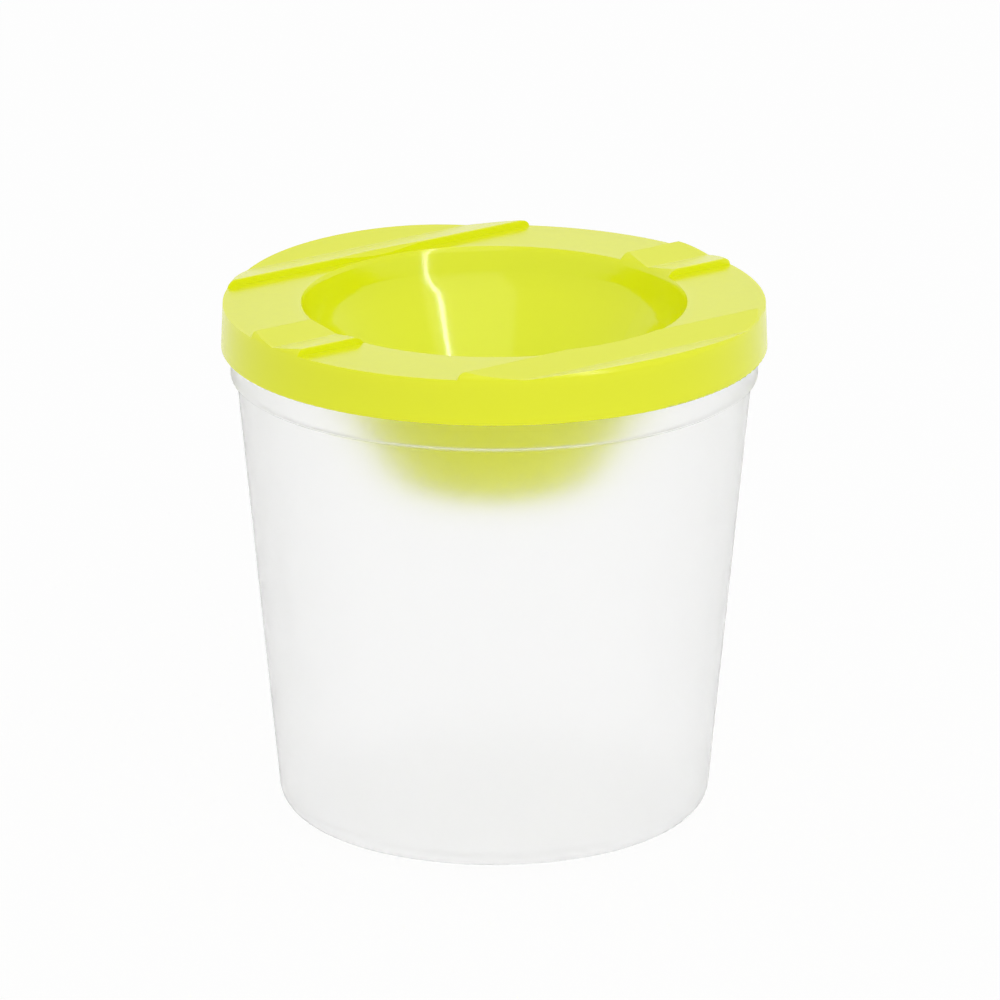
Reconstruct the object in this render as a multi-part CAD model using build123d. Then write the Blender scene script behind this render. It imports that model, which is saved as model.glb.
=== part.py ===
from build123d import *
import math
import os

# A round cup for paint or rinsing water, with a push-on lid whose funnel stops a fallen cup from
# spilling. Millimetres, +Z up, origin on the table under the middle of the cup. The brush rests
# across the top of the lid run along X.

# Cup
cup_height = 85.9  # table to rim
base_radius = 35.5  # where the straight side, carried down, would meet the table
collar_radius = 43.45  # plain band at the top, which the lid pushes onto
collar_height = 11.25  # with the step below it
shoulder_step = 1.0  # how far the collar stands out from the side
shoulder_rise = 0.6  # height over which it does
shoulder_round = 0.35
cup_wall = 1.2
cup_floor = 1.6
heel_round = 4.0  # outside, where the side turns under
foot_height = 0.5  # ring that the cup stands on
foot_inset = 0.1  # inside the middle of the heel's round
foot_width = 3.0
foot_recess = 0.8  # underside of the floor, above the table
rim_bevel = 0.3  # outside, and inside where it leads the plug in

# Lid: top and skirt
lid_plate = 1.4  # thickness between the brush rests
skirt_depth = 7.55  # from the top of the plate down to the lower edge
skirt_wall = 1.35  # at the lower edge
skirt_draft = 0.4  # how much smaller the lid is at the crown than at the lower edge
skirt_clearance = 0.2  # to the collar
skirt_edge_round = 0.4
crown_round = 1.3

# Lid: V-shaped rests that keep a round brush handle from rolling
rest_count = 3
rest_half_width = 6.5  # middle of a rest to its upright outer face
rest_height = 1.15
rest_crest_round = 0.2
rest_valley_round = 1.2

# Lid: ring that plugs the cup, with a bead that wipes the bore
plug_clearance = 0.25
plug_depth = 5.3
plug_wall = 1.1
plug_lead_round = 0.5
bead_clearance = 0.05
bead_drop = 2.8  # below the rim of the cup
bead_height = 1.4

# Lid: funnel
lid_wall = 1.2
mouth_radius = 31.9  # level with the crests of the rests, before the lip is rounded
lip_round = 2.5
neck_taper = 1.5  # how much narrower the steep neck is at its foot, where the slope begins
neck_depth = 5.6  # below the top of the plate
neck_round = 10.0
funnel_depth = 30.6
throat_radius = 10.0
toe_width = 5.8  # level bottom of the funnel, from the throat out to the slope
toe_round = 6.0

overrun = 5.0  # how far a cutting body stands out of what it cuts

# Levels and radii that the pieces share
shoulder_level = cup_height - collar_height
bore_radius = collar_radius - cup_wall
plate_level = cup_height + lid_plate
crest_level = plate_level + rest_height
lid_radius = collar_radius + skirt_clearance + skirt_wall
neck_radius = mouth_radius - neck_taper
toe_radius = throat_radius + toe_width
rest_pitch = 2 * (lid_radius - rest_half_width) / (rest_count - 1)  # the outer rests end at the rim


def outline(corners):
    """A flat section through (across, up, rounding) corners, where a rounding of 0 is sharp."""
    section = make_face(Polyline([(across, up) for across, up, _ in corners], close=True))
    for across, up, rounding in corners:
        if rounding:
            corner = section.vertices().sort_by_distance((across, up))[0]
            section = fillet(corner, rounding)
    return section


def turned(section):
    """A section drawn as radius and height, turned about the axis of the cup."""
    return revolve(Plane.XZ * section, Axis.Z)


def cup_body():
    shoulder_radius = collar_radius - shoulder_step
    collar_level = shoulder_level + shoulder_rise
    floor_level = foot_recess + cup_floor
    foot_radius = base_radius - heel_round - foot_inset
    rim_level = cup_height - rim_bevel
    side_slope = (shoulder_radius - base_radius) / shoulder_level
    heel_radius = base_radius + side_slope * foot_height
    floor_radius = base_radius + side_slope * floor_level - cup_wall
    return turned(
        outline(
            [
                (0, foot_recess, 0),
                (foot_radius - foot_width, foot_recess, 0),
                (foot_radius - foot_width, 0, 0),
                (foot_radius, 0, 0),
                (foot_radius, foot_height, 0),
                (heel_radius, foot_height, heel_round),
                (shoulder_radius, shoulder_level, shoulder_round),
                (collar_radius, collar_level, shoulder_round),
                (collar_radius, rim_level, 0),
                (collar_radius - rim_bevel, cup_height, 0),
                (bore_radius + rim_bevel, cup_height, 0),
                (bore_radius, rim_level, 0),
                (bore_radius, collar_level, 0),
                (shoulder_radius - cup_wall, shoulder_level, 0),
                (floor_radius, floor_level, heel_round - cup_wall),
                (0, floor_level, 0),
            ]
        )
    )


def lid_blank():
    """The whole lid but for its rests: its top is still flat, level with their crests."""
    neck_level = plate_level - neck_depth
    bottom_level = plate_level - funnel_depth
    funnel_floor = bottom_level + lid_wall
    flare = math.atan2(mouth_radius - neck_radius, crest_level - neck_level)
    lean = math.atan2(neck_radius - toe_radius, neck_level - funnel_floor)
    wall_across_neck = lid_wall / math.cos(flare)
    outer_root_radius = neck_radius + math.tan(flare) * (cup_height - neck_level) + wall_across_neck
    outer_neck_drop = lid_wall * math.tan((lean - flare) / 2)
    outer_neck_radius = neck_radius + lid_wall * math.cos(flare) - outer_neck_drop * math.sin(flare)
    outer_neck_level = neck_level - lid_wall * math.sin(flare) - outer_neck_drop * math.cos(flare)
    outer_toe_radius = toe_radius + lid_wall * math.tan(math.pi / 4 - lean / 2)
    plug_radius = bore_radius - plug_clearance
    plug_level = cup_height - plug_depth
    skirt_level = plate_level - skirt_depth
    skirt_bore_radius = lid_radius - skirt_wall
    return turned(
        outline(
            [
                (lid_radius, skirt_level, skirt_edge_round),
                (lid_radius - skirt_draft, crest_level, crown_round),
                (mouth_radius, crest_level, lip_round),
                (neck_radius, neck_level, neck_round),
                (toe_radius, funnel_floor, toe_round),
                (throat_radius, funnel_floor, 0),
                (throat_radius, bottom_level, 0),
                (outer_toe_radius, bottom_level, toe_round + lid_wall),
                (outer_neck_radius, outer_neck_level, neck_round + lid_wall),
                (outer_root_radius, cup_height, 0),
                (plug_radius - plug_wall, cup_height, 0),
                (plug_radius - plug_wall, plug_level, 0),
                (plug_radius, plug_level, plug_lead_round),
                (plug_radius, cup_height, 0),
                (skirt_bore_radius, cup_height, 0),
                (skirt_bore_radius, skirt_level, 0),
            ]
        )
    )


def plug_bead():
    """The rounded bead round the plug, rooted in its wall."""
    plug_radius = bore_radius - plug_clearance
    middle = cup_height - bead_drop
    low = (plug_radius, middle - bead_height / 2)
    high = (plug_radius, middle + bead_height / 2)
    crest = (bore_radius - bead_clearance, middle)
    root = plug_radius - plug_wall / 2
    face = make_face(
        [
            ThreePointArc(low, crest, high),
            Polyline(high, (root, high[1]), (root, low[1]), low),
        ]
    )
    return turned(face)


def rest_cutter():
    """Takes the blank down to the plate, all along the lid, and leaves the rests standing."""
    reach = lid_radius + overrun
    first = -rest_pitch * (rest_count - 1) / 2
    corners = [(-reach, crest_level + overrun, 0), (-reach, plate_level, 0)]
    for index in range(rest_count):
        middle = first + index * rest_pitch
        corners += [
            (middle - rest_half_width, plate_level, 0),
            (middle - rest_half_width, crest_level, rest_crest_round),
            (middle, plate_level, rest_valley_round),
            (middle + rest_half_width, crest_level, rest_crest_round),
            (middle + rest_half_width, plate_level, 0),
        ]
    corners += [(reach, plate_level, 0), (reach, crest_level + overrun, 0)]
    return extrude(Plane.YZ * outline(corners), reach, both=True)


def lid_body():
    return lid_blank() + plug_bead() - rest_cutter()


os.makedirs("parts", exist_ok=True)
export_step(cup_body(), "parts/cup.step")
export_step(lid_body(), "parts/lid.step")
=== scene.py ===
import math

import bpy
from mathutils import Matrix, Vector

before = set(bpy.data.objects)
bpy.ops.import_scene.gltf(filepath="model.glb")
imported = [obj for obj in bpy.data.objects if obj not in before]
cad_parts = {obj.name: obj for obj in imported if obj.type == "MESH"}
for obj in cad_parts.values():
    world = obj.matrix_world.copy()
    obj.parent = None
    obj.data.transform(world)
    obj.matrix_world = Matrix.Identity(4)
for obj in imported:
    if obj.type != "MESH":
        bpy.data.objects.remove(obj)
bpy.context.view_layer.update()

# A paint cup of frosted, translucent plastic with a glossy lime lid, on a white table in a white tent.

# Camera: where the photograph was taken from, metres and degrees
VIEW_AZIMUTH = -36.6  # the brush rests run away from the camera to the right
VIEW_ELEVATION = 18.1
VIEW_DISTANCE = 1.35
VIEW_TARGET = Vector((0.0, 0.0, 0.05276))
SENSOR_WIDTH = 36.0
FOCAL_LENGTH = 293.3
SHIFT_RIGHT = 0.00575

# Tent and table
TENT_WHITE = (1.0, 1.0, 1.0, 1.0)
TENT_SEEN = 1.0  # as a camera sees the tent, where 1 is white
TENT_LIGHT = 0.70  # as it lights the cup
FLOOR_RADIUS = 3.0
FLOOR_SIDES = 96
FLOOR_WHITE = (0.93, 0.93, 0.93, 1.0)
FLOOR_GLOW = 0.95  # share of the floor that a camera sees as paper white, the rest keeps the shadow
FIRST_SCATTER = 0.5  # between light that no dull surface has scattered yet and light that one has
BOUNCES = 32  # enough for light that wanders in the frosted wall

# Lamps: a narrow one that draws the bright line down the funnel, and a wide one from the front
STRIP_RIGHT = 43.0  # degrees round from the camera
STRIP_ELEVATION = 32.0
STRIP_DISTANCE = 1.1
STRIP_SIZE = (0.014, 1.1)
STRIP_POWER = 2.5
KEY_RIGHT = 20.0
KEY_ELEVATION = 42.0
KEY_DISTANCE = 1.5
KEY_SIZE = (1.4, 1.4)
KEY_POWER = 4.3

# Moulded surface
PEEL_LOW = 0.3  # the noise of the peel seldom leaves this range
PEEL_HIGH = 0.7
PEEL_DEPTH = 0.00004  # metres
POLISH_RADIUS = 0.0310  # the middle of the lid is polished, and satin begins here
POLISH_FADE = 0.0030  # satin is full this much farther out
SATIN_ROUGHNESS = 0.12  # what it adds


def direction(azimuth, elevation):
    """Unit vector from the object towards a place round it. Azimuth 0 is the -Y side."""
    around, up = math.radians(azimuth), math.radians(elevation)
    return Vector((math.sin(around) * math.cos(up), -math.cos(around) * math.cos(up), math.sin(up)))


def add_camera():
    """A long lens at the height and distance that the photograph was taken from."""
    data = bpy.data.cameras.new("camera")
    data.sensor_width = SENSOR_WIDTH
    data.lens = FOCAL_LENGTH
    data.shift_x = SHIFT_RIGHT
    camera = bpy.data.objects.new("camera", data)
    back = direction(VIEW_AZIMUTH, VIEW_ELEVATION)
    camera.location = VIEW_TARGET + back * VIEW_DISTANCE
    camera.rotation_mode = "QUATERNION"
    camera.rotation_quaternion = (-back).to_track_quat("-Z", "Y")
    bpy.context.scene.collection.objects.link(camera)
    bpy.context.scene.camera = camera


def add_lamp(name, azimuth, elevation, distance, size, power):
    """A rectangular lamp that faces the cup, with its long side upright."""
    data = bpy.data.lights.new(name, "AREA")
    data.shape = "RECTANGLE"
    data.size, data.size_y = size
    data.energy = power
    lamp = bpy.data.objects.new(name, data)
    back = direction(azimuth, elevation)
    lamp.location = VIEW_TARGET + back * distance
    lamp.rotation_mode = "QUATERNION"
    lamp.rotation_quaternion = (-back).to_track_quat("-Z", "Y")
    bpy.context.scene.collection.objects.link(lamp)
    return lamp


def new_material(name):
    """A new material with nothing but its output node."""
    material = bpy.data.materials.new(name)
    material.use_nodes = True
    tree = material.node_tree
    tree.nodes.clear()
    output = tree.nodes.new("ShaderNodeOutputMaterial")
    return material, tree, output


def add_node(tree, kind, inputs=None, **settings):
    """Adds a node; inputs gives each socket a number, a colour or another node's output."""
    node = tree.nodes.new(kind)
    for key, value in settings.items():
        setattr(node, key, value)
    for socket, value in (inputs or {}).items():
        if isinstance(value, bpy.types.NodeSocket):
            tree.links.new(value, node.inputs[socket])
        else:
            node.inputs[socket].default_value = value
    return node


def tent_rays(tree):
    """1 for what is seen straight, mirrored or through a clear body, and 0 for a ray that only lights."""
    path = add_node(tree, "ShaderNodeLightPath")
    direct = add_node(
        tree, "ShaderNodeMath", {0: path.outputs["Is Camera Ray"], 1: path.outputs["Is Glossy Ray"]},
        operation="MAXIMUM",
    )
    clear = add_node(
        tree, "ShaderNodeMath", {0: direct.outputs[0], 1: path.outputs["Is Transmission Ray"]},
        operation="MAXIMUM",
    )
    unscattered = add_node(
        tree, "ShaderNodeMath", {0: path.outputs["Diffuse Depth"], 1: FIRST_SCATTER}, operation="LESS_THAN"
    )
    return add_node(
        tree, "ShaderNodeMath", {0: clear.outputs[0], 1: unscattered.outputs[0]}, operation="MULTIPLY"
    ).outputs[0]


def add_tent():
    """White all round, and a little darker for the light it gives than for the eye."""
    world = bpy.data.worlds.new("tent")
    world.use_nodes = True
    tree = world.node_tree
    tree.nodes.clear()
    seen = tent_rays(tree)
    strength = add_node(
        tree, "ShaderNodeMapRange", {"Value": seen, "To Min": TENT_LIGHT, "To Max": TENT_SEEN}
    ).outputs["Result"]
    background = add_node(tree, "ShaderNodeBackground", {"Color": TENT_WHITE, "Strength": strength})
    output = add_node(tree, "ShaderNodeOutputWorld")
    tree.links.new(background.outputs[0], output.inputs["Surface"])
    bpy.context.scene.world = world


def add_floor():
    """The white table, which melts into the tent and keeps a faint shadow."""
    bpy.ops.mesh.primitive_circle_add(vertices=FLOOR_SIDES, radius=FLOOR_RADIUS, fill_type="NGON")
    floor = bpy.context.object
    floor.name = "floor"
    material, tree, output = new_material("table_white")
    paper = add_node(tree, "ShaderNodeBsdfDiffuse", {"Color": FLOOR_WHITE})
    glow = add_node(tree, "ShaderNodeEmission", {"Color": TENT_WHITE, "Strength": TENT_SEEN})
    share = add_node(tree, "ShaderNodeMath", {0: tent_rays(tree), 1: FLOOR_GLOW}, operation="MULTIPLY")
    mix = add_node(
        tree, "ShaderNodeMixShader", {0: share.outputs[0], 1: paper.outputs[0], 2: glow.outputs[0]}
    )
    tree.links.new(mix.outputs[0], output.inputs["Surface"])
    floor.data.materials.append(material)


def moulded_skin_group():
    """The surface of an injection moulding: faint flow bands in its colour and a fine orange peel."""
    group = bpy.data.node_groups.new("moulded_skin", "ShaderNodeTree")
    face = group.interface
    face.new_socket("Colour", in_out="INPUT", socket_type="NodeSocketColor")
    face.new_socket("Flow colour", in_out="INPUT", socket_type="NodeSocketColor")
    for name in ("Flow amount", "Flow size", "Peel size", "Smooth roughness", "Rough roughness"):
        face.new_socket(name, in_out="INPUT", socket_type="NodeSocketFloat")
    face.new_socket("Colour", in_out="OUTPUT", socket_type="NodeSocketColor")
    face.new_socket("Roughness", in_out="OUTPUT", socket_type="NodeSocketFloat")
    face.new_socket("Height", in_out="OUTPUT", socket_type="NodeSocketFloat")
    entry = add_node(group, "NodeGroupInput")
    result = add_node(group, "NodeGroupOutput")
    place = add_node(group, "ShaderNodeTexCoord").outputs["Object"]
    flow = add_node(
        group, "ShaderNodeTexNoise", {"Vector": place, "Scale": entry.outputs["Flow size"], "Detail": 2.0}
    ).outputs["Fac"]
    peel = add_node(
        group, "ShaderNodeTexNoise", {"Vector": place, "Scale": entry.outputs["Peel size"], "Detail": 3.0}
    ).outputs["Fac"]
    amount = add_node(
        group, "ShaderNodeMath", {0: flow, 1: entry.outputs["Flow amount"]}, operation="MULTIPLY"
    ).outputs[0]
    colour = add_node(
        group, "ShaderNodeMix",
        {"Factor": amount, "A": entry.outputs["Colour"], "B": entry.outputs["Flow colour"]},
        data_type="RGBA",
    )
    rough = add_node(
        group, "ShaderNodeMapRange",
        {
            "Value": peel,
            "From Min": PEEL_LOW,
            "From Max": PEEL_HIGH,
            "To Min": entry.outputs["Smooth roughness"],
            "To Max": entry.outputs["Rough roughness"],
        },
    ).outputs["Result"]
    group.links.new(colour.outputs["Result"], result.inputs["Colour"])
    group.links.new(rough, result.inputs["Roughness"])
    group.links.new(peel, result.inputs["Height"])
    return group


def add_bump(tree, skin, strength):
    """Turns the height of the skin's peel into a normal."""
    return add_node(
        tree, "ShaderNodeBump",
        {"Height": skin.outputs["Height"], "Strength": strength, "Distance": PEEL_DEPTH},
    ).outputs["Normal"]


def satin_outside(tree, roughness):
    """Roughens a polished skin beyond a circle round the axis of the cup."""
    place = add_node(tree, "ShaderNodeTexCoord").outputs["Object"]
    across = add_node(
        tree, "ShaderNodeVectorMath", {0: place, 1: (1.0, 1.0, 0.0)}, operation="MULTIPLY"
    ).outputs["Vector"]
    radius = add_node(tree, "ShaderNodeVectorMath", {0: across}, operation="LENGTH").outputs["Value"]
    satin = add_node(
        tree, "ShaderNodeMapRange",
        {
            "Value": radius,
            "From Min": POLISH_RADIUS,
            "From Max": POLISH_RADIUS + POLISH_FADE,
            "To Max": SATIN_ROUGHNESS,
        },
    ).outputs["Result"]
    return add_node(tree, "ShaderNodeMath", {0: roughness, 1: satin}, operation="ADD").outputs[0]


def lime_gloss(skin_group):
    """Dyed polypropylene of the lid, glossy in the funnel, satin outside and a little translucent."""
    material, tree, output = new_material("lime_gloss")
    skin = add_node(
        tree, "ShaderNodeGroup",
        {
            "Colour": (0.910, 0.980, 0.010, 1.0),
            "Flow colour": (0.890, 0.960, 0.007, 1.0),
            "Flow amount": 0.8,
            "Flow size": 38.0,
            "Peel size": 900.0,
            "Smooth roughness": 0.08,
            "Rough roughness": 0.14,
        },
        node_tree=skin_group,
    )
    plastic = add_node(
        tree, "ShaderNodeBsdfPrincipled",
        {
            "Base Color": skin.outputs["Colour"],
            "Roughness": satin_outside(tree, skin.outputs["Roughness"]),
            "Normal": add_bump(tree, skin, 0.25),
            "IOR": 1.49,
            "Subsurface Weight": 0.35,
            "Subsurface Radius": (0.0015, 0.0015, 0.0003),
            "Subsurface Scale": 1.0,
        },
    )
    tree.links.new(plastic.outputs[0], output.inputs["Surface"])
    return material


def frosted_clear(skin_group):
    """Undyed polypropylene of the cup, which shows the funnel through its wall as a blur."""
    material, tree, output = new_material("frosted_clear")
    skin = add_node(
        tree, "ShaderNodeGroup",
        {
            "Colour": (0.990, 0.990, 0.990, 1.0),
            "Flow colour": (0.986, 0.986, 0.986, 1.0),
            "Flow amount": 0.9,
            "Flow size": 30.0,
            "Peel size": 700.0,
            "Smooth roughness": 0.54,
            "Rough roughness": 0.60,
        },
        node_tree=skin_group,
    )
    plastic = add_node(
        tree, "ShaderNodeBsdfPrincipled",
        {
            "Base Color": skin.outputs["Colour"],
            "Roughness": skin.outputs["Roughness"],
            "Normal": add_bump(tree, skin, 0.2),
            "IOR": 1.13,
            "Transmission Weight": 0.98,
        },
        distribution="MULTI_GGX",
    )
    tree.links.new(plastic.outputs[0], output.inputs["Surface"])
    return material


def dress(node, material):
    """Gives a piece its finish."""
    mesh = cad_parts[node].data
    if not mesh.materials:
        mesh.materials.append(material)
    for index in range(len(mesh.materials)):
        mesh.materials[index] = material


add_camera()
add_tent()
add_floor()
strip = add_lamp(
    "strip", VIEW_AZIMUTH + STRIP_RIGHT, STRIP_ELEVATION, STRIP_DISTANCE, STRIP_SIZE, STRIP_POWER
)
strip.visible_diffuse = False
strip.visible_transmission = False
add_lamp("key", VIEW_AZIMUTH + KEY_RIGHT, KEY_ELEVATION, KEY_DISTANCE, KEY_SIZE, KEY_POWER)

skin_group = moulded_skin_group()
dress("cup", frosted_clear(skin_group))
dress("lid", lime_gloss(skin_group))

view_settings = bpy.context.scene.view_settings
view_settings.view_transform = "Standard"

cycles = bpy.context.scene.cycles
cycles.max_bounces = BOUNCES
cycles.glossy_bounces = BOUNCES
cycles.transmission_bounces = BOUNCES
